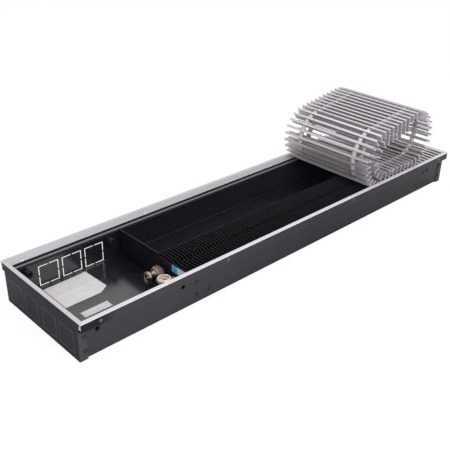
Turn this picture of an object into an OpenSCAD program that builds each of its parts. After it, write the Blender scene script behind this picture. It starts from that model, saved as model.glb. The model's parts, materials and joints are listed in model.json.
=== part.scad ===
// Trench convector heater with a roll-up grille, shown with its grille half rolled up.
// x runs along the casing, y from the front wall to the back wall, z up from the floor.
// Sizes are first worked out from the front left corner; the model's origin is the middle of the base.

/* [Casing] */
// Length over the frame
case_l = 1000; // [950:50:1400]
// Width over the frame
case_w = 240; // [230:10:300]
// Height from the base to the top of the frame
case_h = 75; // [75:5:120]
// Thickness of the folded steel sheet
sheet_t = 1; // [0.8:0.1:1.5]
// Inside radius of the folds
fold_r = 1; // [0.5:0.5:2]
// How far the rim stands out beyond the long walls
rim_step = 11; // [9:1:15]
// Width of the flanges that close the end walls
flange_w = 15; // [13:1:20]
// How far the end wall stops short of the rim's corner
corner_slit = 4; // [2:0.5:6]

/* [Knock-outs] */
// Side of a square knock-out
ko_size = 40; // [30:1:42]
// Width of the slits round the back wall's knock-outs
ko_slit = 2; // [1:0.25:2.5]
// Width of the slits round the end wall's knock-outs
ko_end_slit = 1; // [0.8:0.1:2]
// Width of the bridge that holds it, in the middle of each side
ko_bridge = 2.5; // [1.5:0.5:4]
// First knock-out of the back wall, from the left end
ko_first_x = 60; // [40:5:70]
// Gap between the knock-outs of the back wall
ko_gap = 7; // [5:1:9]
// Height of the back wall's knock-outs over the floor plate
ko_back_z = 2; // [1:0.5:3]
// Gap between the two middle knock-outs of the end wall
ko_mid_gap = 15; // [12:1:16]
// Gap between a middle and an outer knock-out of the end wall
ko_side_gap = 9.5; // [7:0.5:11]
// Height of the end wall's knock-outs over the base
ko_end_z = 10; // [6:1:14]

/* [Frame] */
// Width of the frame seen from above
frame_w = 7; // [6:0.5:9]
// Depth of the frame's legs
frame_h = 12.5; // [10:0.5:13.5]
// Thickness of the frame's legs
frame_t = 1.2; // [1:0.1:1.5]
// Thickness of the frame's top
frame_top_t = 1.5; // [1.2:0.1:2]
// Gap at the mitred corners
mitre_gap = 0.2; // [0.1:0.1:0.4]
// First and last rivet of the frame, from the ends
fix_inset = 36; // [25:1:60]
// Second rivet of the frame, from the first
fix_second = 262; // [200:10:300]
// Third rivet of the frame, from the second
fix_span = 350; // [250:10:400]
// Height of the frame's rivets below the top
fix_drop = 8.5; // [6:0.5:9]

/* [Grille] */
// Height of a grille bar
bar_h = 15; // [14:0.5:18]
// Width of a grille bar over its flanges
bar_w = 5; // [4:0.5:6.5]
// Thickness of a bar's flanges
bar_flange = 1.2; // [1:0.1:1.8]
// Thickness of a bar's web
bar_web = 1.4; // [1:0.1:2]
// Distance from bar to bar
bar_pitch = 14; // [13:0.5:15]
// Gap between a bar's end and the frame
bar_play = 1; // [0.5:0.25:2]
// Distance of the connecting springs from the bars' ends
spring_inset = 40; // [25:1:60]
// Radius of a connecting spring
spring_r = 1.9; // [1.5:0.1:2.2]
// Radius of the holes in the webs and sleeves that the springs run through
spring_hole_r = 2.5; // [2.3:0.1:2.8]
// Outside radius of a spacer sleeve
sleeve_r = 4.8; // [3.5:0.1:5]

/* [Rolled part of the grille] */
// Slope of the roll's upper layers
roll_slope = 8; // [5:1:12]
// Gap between the two upper layers
layer_gap = 2.5; // [1.5:0.5:4]
// Steps from bar to bar along the roll's upper outer layer
top_steps = 8; // [6:1:10]
// Steps in the roll's right turn
right_steps = 13; // [12:1:14]
// Steps along the layer that lies on the flat grille
lower_steps = 7; // [6:1:8]
// Steps in the roll's inner left turn
inner_steps = 8; // [8:1:9]
// Steps from there to the grille's free end
tail_steps = 5; // [3:1:7]

/* [Bearing tape] */
// Thickness of the tape that the grille lies on
tape_t = 0.7; // [0.5:0.1:1]
// How far the tape hangs down the wall
tape_drop = 6; // [3:0.5:8]

/* [Heat exchanger] */
// Distance of the left partition from the left end
partition_x = 230; // [215:5:260]
// Length of the bay behind the right partition
right_bay = 71; // [71:1:100]
// How far the partition's high back part stays below the ledge
partition_drop = 0.5; // [0.3:0.1:2]
// How much lower its front part is
partition_notch = 5.5; // [3:0.5:8]
// How far the high part reaches over the fins
partition_lap = 9; // [0:1:20]
// Width of the partition's flanges on the walls
partition_flange = 11; // [10:0.5:12]
// Width of its foot on the floor
partition_foot = 10; // [8:1:20]
// Distance from fin to fin
fin_pitch = 7; // [5:0.5:10]
// Thickness of a fin
fin_t = 0.4; // [0.3:0.05:0.6]
// Depth of a fin, from front to back
fin_w = 90; // [84:2:100]
// Sideways jog in the middle of a fin
fin_jog = 4; // [2:0.5:4.5]
// Length of the sloping stretch of the jog
fin_jog_w = 9; // [6:1:12]
// Gap between the front wall and the fins
fin_front_gap = 15; // [14:1:20]
// Gap between the floor and the fins
fin_floor_gap = 5; // [4:0.5:8]
// Gap between the fins and the grille
fin_grille_gap = 7; // [4:0.5:20]
// Outside radius of the water tubes
tube_r = 7.5; // [6:0.5:9]
// Wall of the water tubes
tube_wall = 1; // [0.7:0.1:1.2]
// Distance between the two water tubes
tube_gap = 45; // [40:1:48]
// How far the tubes sit behind the middle of the fins
tube_shift = 2.5; // [0:0.5:4]
// How far they sit below the middle of the fins
tube_drop = 3.5; // [0:0.5:5]

/* [Connections] */
// Width across the flats of the rear union nut
nut_flats = 24; // [22:0.5:26]
// Width across the flats of the front union nut
front_nut_flats = 21; // [20.5:0.5:26]
// Length of the union nuts
nut_l = 12.5; // [10:0.5:14]
// Radius of the connectors' barrel
barrel_r = 9.5; // [9:0.25:10]
// Length of the rear connector's barrel
barrel_l = 11; // [8:1:18]
// Length of the front connector's barrel
front_barrel_l = 15; // [12:1:18]
// Radius of the rear connector's collar
collar_r = 11; // [10.5:0.25:12]
// Length of the rear connector's collar
collar_l = 8; // [6:0.5:10]
// Radius of the seat in its mouth
mouth_r = 8; // [7:0.25:8.5]
// Depth of that seat
mouth_l = 3; // [1:0.5:5]
// Radius of the waterway
waterway_r = 5.5; // [4.5:0.25:6]
// Radius of the air vent's cap
vent_r = 13; // [11:0.5:13.5]
// Thickness of the air vent's cap
vent_t = 7; // [6:0.5:8]

/* [Wall bushes and rivets] */
// Outside radius of a bush's body
bush_r = 6; // [5.5:0.5:6]
// Radius of the bush's tapped hole
bush_bore_r = 3.4; // [2.5:0.1:4.2]
// Length of a bush inside the wall
bush_l = 18; // [12:1:20]
// Depth of the bushes' axis below the top
bush_drop = 29; // [27:1:32]
// First and second bush from the left end
bush_left = [35, 205];
// Last bush from the right end
bush_right = 64; // [45:1:64]
// Height of the lower rivets of the end walls and of the partitions
rivet_low = [17, 19];
// Radius of a rivet's head
rivet_r = 2.9; // [2.5:0.1:4]
// Radius of a rivet's shank
rivet_shank_r = 1.6; // [1.2:0.1:1.8]
// Depth of the dimple that the drawn pin leaves in a rivet's head
rivet_dimple = 0.7; // [0.3:0.1:0.8]

/* [Papers] */
// Place of the leaflet on the floor, from the left and the front
leaflet_at = [58, 144];
// Size of the leaflet
leaflet_size = [92, 79];
// Cut corner of the leaflet
leaflet_cut = [20, 14];
// Place of the small label on the floor
label_at = [68, 99];
// Size of the small label
label_size = [55, 17];
// Gap between the front wall and the partition's sticker
sticker_gap = 19; // [10:1:30]
// Size of the partition's sticker
sticker_size = [40, 14];
// Gap between the sticker and the partition's upper edge
sticker_drop = 1; // [1:0.5:4]

/* [Hidden] */
turn_steps = 12;
turn_bars = turn_steps - 1;
play = 0.3;
hole_play = 0.2;
seat_gap = 0.05;
web_gap = 0.1;
rivet_head_h = 1.1;
rivet_tail = 1.5;
label_t = 0.3;
cut = 1;
fold_n = 5;
dark = [0.16, 0.16, 0.18];
steel = [0.62, 0.62, 0.64];
anodised = [0.80, 0.79, 0.78];
sleeve_grey = [0.72, 0.71, 0.71];
nickel = [0.72, 0.66, 0.58];
copper = [0.72, 0.45, 0.30];
white = [0.92, 0.92, 0.92];
$fn = 48;

// Heights of the grille's seat, from the top of the frame down
bar_z = case_h - bar_h / 2;
tape_top = case_h - bar_h - play;
ledge_top = tape_top - tape_t;
ledge_z = ledge_top - sheet_t;
rim_top = case_h - frame_top_t;
wall_y = rim_step + sheet_t;
floor_z = 2 * sheet_t;

// Bars that fill the frame, and those of them that lie flat
opening_l = case_l - 2 * frame_w;
bars = floor((opening_l - 2 * play - bar_w) / bar_pitch) + 1;
roll_bars_n = top_steps + 1 + right_steps + lower_steps + inner_steps + tail_steps;
flat_bars_n = bars - turn_bars - roll_bars_n;
bar_l = case_w - 2 * frame_w - 2 * bar_play;
bar_y = frame_w + bar_play;
spring_y = [bar_y + spring_inset, case_w - bar_y - spring_inset];
first_x = case_l / 2 + (bars - 1) * bar_pitch / 2;
last_flat_x = first_x - (flat_bars_n - 1) * bar_pitch;

// Path of the rolled grille in the x-z plane. A bar's heading is the way the path goes on from it.
// From bar to bar the path runs half a step along each bar's own heading.
function way(a) = [cos(a), sin(a)];
function sum(v, i = 0) = i < len(v) ? v[i] + sum(v, i + 1) : [0, 0];
function run(h, d, n) = sum([for (k = [0:n - 1]) (way(h - d * k) + way(h - d * (k + 1))) / 2]);

turn_a = (180 - roll_slope) / turn_steps;
right_a = (180 + roll_slope) / right_steps;
inner_a = (180 - roll_slope) / inner_steps;
lower_z = case_h + play + bar_h / 2;
top_start = [last_flat_x, bar_z] + bar_pitch * run(180, turn_a, turn_steps);
top_end = top_start + top_steps * bar_pitch * way(roll_slope);
right_run = run(roll_slope, right_a, right_steps);
right_pitch = (lower_z - top_end[1]) / right_run[1];
lower_end = top_end + right_pitch * right_run - [lower_steps * bar_pitch, 0];
inner_run = run(180, inner_a, inner_steps);
layer_drop = (bar_h + layer_gap) / cos(roll_slope);
inner_rise = top_start[1] + (lower_end[0] - top_start[0]) * tan(roll_slope) - layer_drop - lower_z;
inner_pitch = inner_rise / (inner_run[1] - inner_run[0] * tan(roll_slope));

// Turn and pitch of the step that leads away from each bar of the roll
function roll_turn(k) =
    k < top_steps ? 0
    : k < top_steps + right_steps ? right_a
    : k < top_steps + right_steps + lower_steps ? 0
    : k < top_steps + right_steps + lower_steps + inner_steps ? inner_a
    : 0;
function roll_pitch(k) =
    roll_turn(k) == 0 ? bar_pitch : k < top_steps + right_steps ? right_pitch : inner_pitch;

// Place and heading of bar k of a chain, as [x, z, heading]
function step_on(p, d, q) =
    let (m = [p[0], p[1]] + q / 2 * (way(p[2]) + way(p[2] - d))) [m[0], m[1], p[2] - d];
function turn_place(k) = k == 0 ? [last_flat_x, bar_z, 180] : step_on(turn_place(k - 1), turn_a, bar_pitch);
function roll_place(k) =
    k == 0 ? turn_place(turn_steps) : step_on(roll_place(k - 1), roll_turn(k - 1), roll_pitch(k - 1));

// Longest sleeve end that stays clear of the next web when the step bends by d
function sleeve_end(d, q) =
    q / 2 + (q / 2 - bar_web / 2 - hole_play - (d > 0 ? sleeve_r * sin(d) : 0)) / cos(d);

// Heat exchanger
fin_y = wall_y + fin_front_gap;
fin_z = floor_z + fin_floor_gap;
fin_h = case_h - bar_h - fin_grille_gap - fin_z;
fin_end_gap = 3;
fin_first_x = partition_x + sheet_t + fin_end_gap;
fin_last_x = case_l - right_bay - sheet_t - fin_jog - fin_end_gap;
fins_n = floor((fin_last_x - fin_first_x) / fin_pitch) + 1;
tube_z = fin_z + fin_h / 2 - tube_drop;
tube_mid_y = fin_y + fin_w / 2 + tube_shift;
tube_y = [tube_mid_y - tube_gap / 2, tube_mid_y + tube_gap / 2];
bend_gap = 6;
saddle_t = 1.2;
saddle_w = 20;
saddle_brim = 8;
saddle_gap = 4;
saddle_x = [
    partition_x + partition_flange + saddle_gap + saddle_brim,
    case_l - right_bay - partition_flange - saddle_gap - saddle_brim - saddle_w
];
tab_h = 22;

// Connections, from the partition to the left
nut_gap = 6;
nut_x = partition_x - nut_gap - nut_l;
shoulder_x = nut_x - play;
front_x = shoulder_x - front_barrel_l;
tail_r = barrel_r - 0.7;
seat_l = 5;
tube_end_x = shoulder_x + seat_l;
front_end_l = 7;
vent_shift = 1.3;
vent_lift = 5.3;
vent_x = front_x + vent_shift;
vent_z = tube_z + barrel_r + vent_lift;
vent_stem_r = 6.5;
vent_top_r = vent_r - 3;
vent_edge = vent_t - 4;
vent_seat = 3;
vent_webs = 4;
vent_web = 2.4;
vent_web_a = 13;
vent_boss_wall = 1.4;
vent_boss_h = 1.5;
vent_screw_r = 3;
vent_screw_drop = 1.2;
vent_slot = 0.8;

// Bushes and rivets
bush_x = [bush_left[0], bush_left[1], case_l - bush_right];
bush_z = case_h - bush_drop;
bush_neck_r = bush_r - 1.4;
rivet_hole_r = rivet_shank_r + hole_play;
rivet_high = bush_z - 3;
rivet_z = [rivet_low[0], rivet_high];
end_rivet_inset = 11;
end_rivet_x = [end_rivet_inset, case_l - end_rivet_inset];
partition_rivet_x = [partition_x + partition_flange / 2, case_l - right_bay - partition_flange / 2];
partition_rivet_z = [rivet_low[1], rivet_high];
saddle_rivet_x = [for (x = saddle_x) x + saddle_w / 2];
saddle_rivet_z = floor_z + tab_h - 5;
fix_x = [fix_inset, fix_inset + fix_second, fix_inset + fix_second + fix_span, case_l - fix_inset];
fix_z = case_h - fix_drop;

function two(k) = k < 10 ? str("0", k) : str(k);

// Helpers

module place() {
    translate([-case_l / 2, -case_w / 2, 0]) children();
}

// Extrudes a y-z outline along x
module along_x(l) {
    rotate([90, 0, 90]) linear_extrude(l) children();
}

// Extrudes an x-z outline along y
module along_y(l) {
    translate([0, l, 0]) rotate([90, 0, 0]) linear_extrude(l) children();
}

// A round bar along y from the given point
module pin_y(p, l, r) {
    translate(p) rotate([-90, 0, 0]) cylinder(h = l, r = r);
}

// A round bar along x from the given point
module pin_x(p, l, r) {
    translate(p) rotate([0, 90, 0]) cylinder(h = l, r = r);
}

module mirror_y() {
    translate([0, case_w, 0]) mirror([0, 1, 0]) children();
}

module mirror_x() {
    translate([case_l, 0, 0]) mirror([1, 0, 0]) children();
}

// Round corner of radius r at p, between the points a and b, for square corners
function corner(a, p, b, r) =
    let (u = (a - p) / norm(a - p), v = (b - p) / norm(b - p), c = p + r * (u + v))
    [for (i = [0:fold_n]) c - r * (v * cos(90 * i / fold_n) + u * sin(90 * i / fold_n))];

function rounded(p, r) = concat(
    [p[0]],
    [for (i = [1:len(p) - 2]) each corner(p[i - 1], p[i], p[i + 1], r[i])],
    [p[len(p) - 1]]
);

// Casing

// Section of the folded trough: rim, ledge, wall, floor, wall, ledge, rim
module trough_section() {
    a = fold_r;
    b = fold_r + sheet_t;
    w = case_w;
    outer = [
        [0, rim_top], [0, ledge_z], [rim_step, ledge_z], [rim_step, sheet_t],
        [w - rim_step, sheet_t], [w - rim_step, ledge_z], [w, ledge_z], [w, rim_top]
    ];
    inner = [
        [w - sheet_t, rim_top], [w - sheet_t, ledge_top], [w - wall_y, ledge_top], [w - wall_y, floor_z],
        [wall_y, floor_z], [wall_y, ledge_top], [sheet_t, ledge_top], [sheet_t, rim_top]
    ];
    polygon(concat(rounded(outer, [0, b, a, b, b, a, b, 0]), rounded(inner, [0, a, b, a, a, b, a, 0])));
}

// Slits round one knock-out, with a bridge in the middle of each side
module knockout_slits(slit) {
    difference() {
        square(ko_size, center = true);
        square(ko_size - 2 * slit, center = true);
        square([ko_bridge, ko_size + cut], center = true);
        square([ko_size + cut, ko_bridge], center = true);
    }
}

module trough() {
    color(dark) place() difference() {
        translate([sheet_t, 0, 0]) along_x(case_l - 2 * sheet_t) trough_section();
        for (k = [0:2])
            translate([
                ko_first_x + ko_size / 2 + k * (ko_size + ko_gap),
                case_w - wall_y - cut,
                floor_z + ko_back_z + ko_size / 2
            ]) along_y(sheet_t + 2 * cut) knockout_slits(ko_slit);
        for (x = bush_x) {
            pin_y([x, rim_step - cut, bush_z], sheet_t + 2 * cut, bush_neck_r + hole_play);
            pin_y([x, case_w - wall_y - cut, bush_z], sheet_t + 2 * cut, bush_neck_r + hole_play);
        }
        for (p = both_wall_rivets) {
            pin_y([p[0], rim_step - cut, p[1]], sheet_t + 2 * cut, rivet_hole_r);
            pin_y([p[0], case_w - wall_y - cut, p[1]], sheet_t + 2 * cut, rivet_hole_r);
        }
        for (x = saddle_rivet_x)
            pin_y([x, rim_step - cut, saddle_rivet_z], sheet_t + 2 * cut, rivet_hole_r);
        for (x = fix_x) {
            pin_y([x, -cut, fix_z], sheet_t + 2 * cut, rivet_hole_r);
            pin_y([x, case_w - sheet_t - cut, fix_z], sheet_t + 2 * cut, rivet_hole_r);
        }
    }
}

both_wall_rivets = concat(
    [for (x = end_rivet_x) for (z = rivet_z) [x, z]],
    [for (x = partition_rivet_x) for (z = partition_rivet_z) [x, z]]
);

// A flat plate that follows the trough's outline, with flanges folded round its sides and base
module end_plate() {
    y0 = rim_step - sheet_t;
    z0 = ledge_z - fold_r;
    flange_t = sheet_t - seat_gap;
    flange_h = z0 - 2 * sheet_t;
    difference() {
        union() {
            along_x(sheet_t) polygon([
                [y0, 0], [case_w - y0, 0], [case_w - y0, z0], [case_w - corner_slit, rim_top],
                [corner_slit, rim_top], [y0, z0]
            ]);
            translate([0, y0, 0]) cube([flange_w, flange_t, flange_h]);
            translate([0, case_w - y0 - flange_t, 0]) cube([flange_w, flange_t, flange_h]);
            translate([0, y0, 0]) cube([flange_w, case_w - 2 * y0, flange_t]);
        }
        for (z = rivet_z) {
            pin_y([end_rivet_x[0], y0 - cut, z], sheet_t + 2 * cut, rivet_hole_r);
            pin_y([end_rivet_x[0], case_w - y0 - sheet_t - cut, z], sheet_t + 2 * cut, rivet_hole_r);
        }
    }
}

module end_wall_left() {
    inner = ko_mid_gap / 2 + ko_size / 2;
    color(dark) place() difference() {
        end_plate();
        for (y = [inner, inner + ko_size + ko_side_gap])
            for (s = [-1, 1])
                translate([-cut, case_w / 2 + s * y, ko_end_z + ko_size / 2])
                    along_x(sheet_t + 2 * cut) knockout_slits(ko_end_slit);
    }
}

module end_wall_right() {
    color(dark) place() mirror_x() end_plate();
}

// Frame

// Section of the frame profile: a top over the rim's edge, and two legs inside the rim
module frame_section() {
    leg = sheet_t + mitre_gap / 2;
    translate([0, case_h - frame_top_t]) square([frame_w, frame_top_t]);
    translate([leg, case_h - frame_h]) square([frame_t, frame_h - frame_top_t / 2]);
    translate([frame_w - frame_t, case_h - frame_h]) square([frame_t, frame_h - frame_top_t / 2]);
}

module frame_long() {
    d = frame_w;
    g = mitre_gap / 2;
    difference() {
        intersection() {
            along_x(case_l) frame_section();
            linear_extrude(case_h + cut) polygon([[g, 0], [case_l - g, 0], [case_l - g - d, d], [g + d, d]]);
        }
        for (x = fix_x) pin_y([x, 0, fix_z], frame_w / 2, rivet_hole_r);
    }
}

module frame_short() {
    d = frame_w;
    g = mitre_gap / 2;
    intersection() {
        along_y(case_w) frame_section();
        linear_extrude(case_h + cut) polygon([[0, g], [d, g + d], [d, case_w - g - d], [0, case_w - g]]);
    }
}

module frame_front() {
    color(anodised) place() frame_long();
}

module frame_back() {
    color(anodised) place() mirror_y() frame_long();
}

module frame_left() {
    color(anodised) place() frame_short();
}

module frame_right() {
    color(anodised) place() mirror_x() frame_short();
}

// A blind rivet along y: a low domed head on the plane y = 0, with a dimple, and its shank behind it
module rivet(l, head_h, dimple) {
    ball = (rivet_r * rivet_r + head_h * head_h) / (2 * head_h);
    span = asin(rivet_r / ball);
    edge = asin(rivet_shank_r * 0.6 / ball);
    dome = [
        for (i = [0:fold_n]) let (a = edge + (span - edge) * i / fold_n)
            [ball * sin(a), ball * (1 - cos(a)) - head_h]
    ];
    floor_y = dome[0][1] + dimple;
    rotate([-90, 0, 0]) rotate_extrude()
        polygon(concat(
            [[0, floor_y], [dome[0][0], floor_y]], dome,
            [[rivet_shank_r, 0], [rivet_shank_r, l], [0, l]]
        ));
}

module frame_rivet() {
    rivet(sheet_t + frame_t + rivet_tail / 2, rivet_head_h / 2, rivet_dimple / 2);
}

module frame_rivets() {
    color(steel) place() for (x = fix_x) {
        translate([x, 0, fix_z]) frame_rivet();
        mirror_y() translate([x, 0, fix_z]) frame_rivet();
    }
}

// Tape folded over the ledge, which the bars lie on
module bearing_tape() {
    y0 = sheet_t + mitre_gap / 2 + frame_t + play;
    translate([sheet_t + frame_w, 0, 0]) along_x(case_l - 2 * (sheet_t + frame_w)) polygon([
        [y0, ledge_top], [wall_y, ledge_top], [wall_y, ledge_top - tape_drop],
        [wall_y + tape_t, ledge_top - tape_drop], [wall_y + tape_t, tape_top], [y0, tape_top]
    ]);
}

module bearing_tape_front() {
    color([0.3, 0.3, 0.32]) place() bearing_tape();
}

module bearing_tape_back() {
    color([0.3, 0.3, 0.32]) place() mirror_y() bearing_tape();
}

// Heat exchanger

// A partition across the trough, folded along x at both walls and at the floor
module partition() {
    y0 = wall_y + hole_play;
    y1 = case_w - y0;
    foot = floor_z + fold_r;
    high = ledge_top - partition_drop;
    low = high - partition_notch;
    side = wall_y + tape_t + hole_play;
    under = ledge_top - tape_drop - partition_drop;
    notch_y = fin_y + fin_w - partition_lap;
    difference() {
        union() {
            along_x(sheet_t) polygon([
                [y0, foot], [y0 + fold_r, floor_z], [y1 - fold_r, floor_z], [y1, foot], [y1, under],
                [case_w - side, under], [case_w - side, high], [notch_y, high], [notch_y, low],
                [side, low], [y0, under]
            ]);
            translate([0, y0, foot]) cube([partition_flange, sheet_t, under - foot]);
            translate([0, y1 - sheet_t, foot]) cube([partition_flange, sheet_t, under - foot]);
            translate([-partition_foot, y0 + 3 * fold_r, floor_z])
                cube([partition_foot + sheet_t / 2, y1 - y0 - 6 * fold_r, sheet_t]);
        }
        for (y = tube_y) pin_x([-cut, y, tube_z], sheet_t + 2 * cut, tube_r + play);
        for (z = partition_rivet_z) {
            pin_y([partition_flange / 2, y0 - cut, z], sheet_t + 2 * cut, rivet_hole_r);
            pin_y([partition_flange / 2, y1 - sheet_t - cut, z], sheet_t + 2 * cut, rivet_hole_r);
        }
    }
}

module partition_left() {
    color(dark) place() translate([partition_x, 0, 0]) partition();
}

module partition_right() {
    color(dark) place() mirror_x() translate([right_bay, 0, 0]) partition();
}

// Plan outline of one fin: straight, a sloping jog, straight
module fin_plan() {
    m = fin_w / 2;
    polygon([
        [0, 0], [fin_t, 0], [fin_t, m - fin_jog_w / 2], [fin_jog + fin_t, m + fin_jog_w / 2],
        [fin_jog + fin_t, fin_w], [fin_jog, fin_w], [fin_jog, m + fin_jog_w / 2], [0, m - fin_jog_w / 2]
    ]);
}

module exchanger_fins() {
    color([0.12, 0.12, 0.13]) place() for (k = [0:fins_n - 1])
        translate([fin_first_x + k * fin_pitch, fin_y, fin_z]) difference() {
            linear_extrude(fin_h) fin_plan();
            for (y = tube_y)
                pin_x([-cut, y - fin_y, tube_z - fin_z], fin_jog + fin_t + 2 * cut, tube_r + hole_play);
        }
}

// Two straight tubes joined by a return bend at the right
module exchanger_tubes() {
    bend_x = case_l - right_bay + sheet_t + bend_gap;
    bore_r = tube_r - tube_wall;
    bend_r = tube_gap / 2;
    color(copper) place() difference() {
        union() {
            for (y = tube_y) pin_x([tube_end_x, y, tube_z], bend_x - tube_end_x, tube_r);
            translate([bend_x, tube_mid_y, tube_z]) rotate([0, 0, -90])
                rotate_extrude(angle = 180) translate([bend_r, 0]) circle(r = tube_r);
        }
        for (y = tube_y) pin_x([tube_end_x - cut, y, tube_z], bend_x - tube_end_x + cut, bore_r);
        translate([bend_x, tube_mid_y, tube_z]) rotate([0, 0, -90])
            rotate_extrude(angle = 180) translate([bend_r, 0]) circle(r = bore_r);
    }
}

// Two hat-section saddles under the fins, each with a tab riveted to the front wall
module exchanger_saddles() {
    t = saddle_t;
    top = fin_z - play;
    a = saddle_brim;
    b = saddle_w;
    y0 = wall_y + hole_play;
    color(dark) place() for (x = saddle_x) translate([x, 0, 0]) {
        translate([0, y0 + 2 * fold_r, 0]) along_y(fin_y + fin_w - y0 + saddle_brim) polygon([
            [-a, floor_z], [t, floor_z], [t, top - t], [b - t, top - t], [b - t, floor_z], [b + a, floor_z],
            [b + a, floor_z + t], [b, floor_z + t], [b, top], [0, top], [0, floor_z + t], [-a, floor_z + t]
        ]);
        difference() {
            union() {
                translate([0, y0, top - t]) cube([b, 2 * fold_r + t, t]);
                translate([0, y0, top - t]) cube([b, t, floor_z + tab_h - top + t]);
            }
            pin_y([b / 2, y0 - cut, saddle_rivet_z], t + 2 * cut, rivet_hole_r);
        }
    }
}

// Connections

// Turned connector along x, with its shoulder at the origin: open end, barrel of length l, and a tail
// that the nut covers
module connector_body(l, end_l, end_r) {
    tail_end = l + play + nut_l - 1;
    seat = l + seat_l - play;
    translate([-l, 0, 0]) rotate([0, 90, 0]) difference() {
        rotate_extrude() polygon([
            [0, -end_l], [end_r - 1, -end_l], [end_r, 1 - end_l], [end_r, -1], [end_r - 1, 0],
            [barrel_r, 0], [barrel_r, l], [tail_r, l], [tail_r, tail_end], [0, tail_end]
        ]);
        translate([0, 0, -end_l - cut]) cylinder(h = end_l + seat + 2 * cut, r = waterway_r);
        translate([0, 0, seat]) cylinder(h = nut_l, r = tube_r + hole_play);
    }
}

module union_nut(y, flats) {
    f = flats / 2;
    c = f / cos(30) - f;
    translate([nut_x, y, tube_z]) rotate([30, 0, 0]) rotate([0, 90, 0]) difference() {
        intersection() {
            cylinder(h = nut_l, r = f / cos(30), $fn = 6);
            rotate_extrude()
                polygon([[0, 0], [f, 0], [f + c, c], [f + c, nut_l - c], [f, nut_l], [0, nut_l]]);
        }
        translate([0, 0, -cut]) cylinder(h = nut_l + 2 * cut, r = tail_r + play);
    }
}

module rear_connector() {
    mouth_x = -barrel_l - collar_l;
    color([0.35, 0.33, 0.32]) place() translate([shoulder_x, tube_y[1], tube_z]) difference() {
        connector_body(barrel_l, collar_l, collar_r);
        pin_x([mouth_x - cut, 0, 0], mouth_l + cut, mouth_r);
    }
}

module rear_union_nut() {
    color(nickel) place() union_nut(tube_y[1], nut_flats);
}

// The front connector is a tee, with the air vent on its upright branch
module front_connector() {
    color(nickel) place() difference() {
        union() {
            translate([shoulder_x, tube_y[0], tube_z])
                connector_body(front_barrel_l, front_end_l, barrel_r);
            difference() {
                translate([vent_x, tube_y[0], tube_z])
                    cylinder(h = vent_z - seat_gap - tube_z, r = vent_stem_r);
                pin_x([vent_x - barrel_r, tube_y[0], tube_z], 2 * barrel_r, waterway_r + 1);
            }
        }
        translate([vent_x, tube_y[0], tube_z]) cylinder(h = vent_z, r = 2);
    }
}

module front_union_nut() {
    color(nickel) place() union_nut(tube_y[0], front_nut_flats);
}

// Round cap of the air vent: rounded shoulder, a groove broken by webs, and a raised boss round the screw
module vent_cap() {
    boss_r = vent_screw_r + play + vent_boss_wall;
    boss_top = vent_t + vent_boss_h;
    seat_z = vent_t - vent_seat;
    shoulder = [
        for (i = [0:fold_n]) let (a = 90 * i / fold_n)
            [vent_top_r + (vent_r - vent_top_r) * cos(a), vent_edge + (vent_t - vent_edge) * sin(a)]
    ];
    color([0.85, 0.82, 0.78]) place() translate([vent_x, tube_y[0], vent_z]) difference() {
        rotate_extrude() polygon(concat(
            [[0, 0], [vent_r - 1, 0], [vent_r, 1]], shoulder,
            [[boss_r, vent_t], [boss_r, boss_top - 0.4], [boss_r - 0.4, boss_top], [0, boss_top]]
        ));
        translate([0, 0, seat_z]) cylinder(h = boss_top, r = vent_screw_r + play);
        difference() {
            translate([0, 0, seat_z]) cylinder(h = vent_seat + cut, r = vent_top_r - 1.4);
            translate([0, 0, seat_z - cut]) cylinder(h = boss_top, r = boss_r);
            for (k = [1:vent_webs]) rotate([0, 0, vent_web_a + k * 360 / vent_webs])
                translate([0, -vent_web / 2, seat_z - cut]) cube([vent_r, vent_web, boss_top]);
        }
    }
}

// The vent's screw, with a screwdriver slot across its head
module vent_screw() {
    h = vent_seat + vent_boss_h - vent_screw_drop - play;
    color(nickel) place() translate([vent_x, tube_y[0], vent_z + vent_t - vent_seat + play]) difference() {
        cylinder(h = h, r = vent_screw_r);
        translate([-vent_screw_r - cut, -vent_slot / 2, h - vent_slot])
            cube([2 * (vent_screw_r + cut), vent_slot, vent_slot + cut]);
    }
}

// Fasteners in the walls

// Tapped bush along y, from the wall's outer face to the inside
module wall_bush() {
    difference() {
        union() {
            pin_y([0, 0, 0], sheet_t + 1, bush_neck_r);
            pin_y([0, sheet_t, 0], bush_l, bush_r);
        }
        pin_y([0, -cut, 0], bush_l + sheet_t + 2 * cut, bush_bore_r);
    }
}

module wall_bushes() {
    color([0.1, 0.1, 0.11]) place() for (x = bush_x) {
        translate([x, rim_step, bush_z]) wall_bush();
        mirror_y() translate([x, rim_step, bush_z]) wall_bush();
    }
}

module wall_rivet() {
    rivet(2 * sheet_t + rivet_tail, rivet_head_h, rivet_dimple);
}

module wall_rivets() {
    flange_y = rim_step - sheet_t;
    color(dark) place() {
        for (p = both_wall_rivets) {
            at_end = p[0] == end_rivet_x[0] || p[0] == end_rivet_x[1];
            y = at_end ? flange_y : rim_step;
            translate([p[0], y, p[1]]) wall_rivet();
            mirror_y() translate([p[0], y, p[1]]) wall_rivet();
        }
        for (x = saddle_rivet_x) translate([x, rim_step, saddle_rivet_z]) wall_rivet();
    }
}

// Blank papers and sticker

module floor_leaflet() {
    l = leaflet_size[0];
    w = leaflet_size[1];
    color(white) place() translate([leaflet_at[0], leaflet_at[1], floor_z]) linear_extrude(label_t)
        polygon([[0, 0], [l - leaflet_cut[0], 0], [l, leaflet_cut[1]], [l - 3, w], [0, w - 2]]);
}

module floor_label() {
    color(white) place() translate([label_at[0], label_at[1], floor_z]) linear_extrude(label_t)
        square(label_size);
}

module partition_sticker() {
    top = ledge_top - partition_drop - partition_notch - sticker_drop;
    color([0.35, 0.75, 0.92]) place()
        translate([partition_x - label_t, wall_y + sticker_gap, top - sticker_size[1]])
            cube([label_t, sticker_size[0], sticker_size[1]]);
}

// Grille

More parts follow.
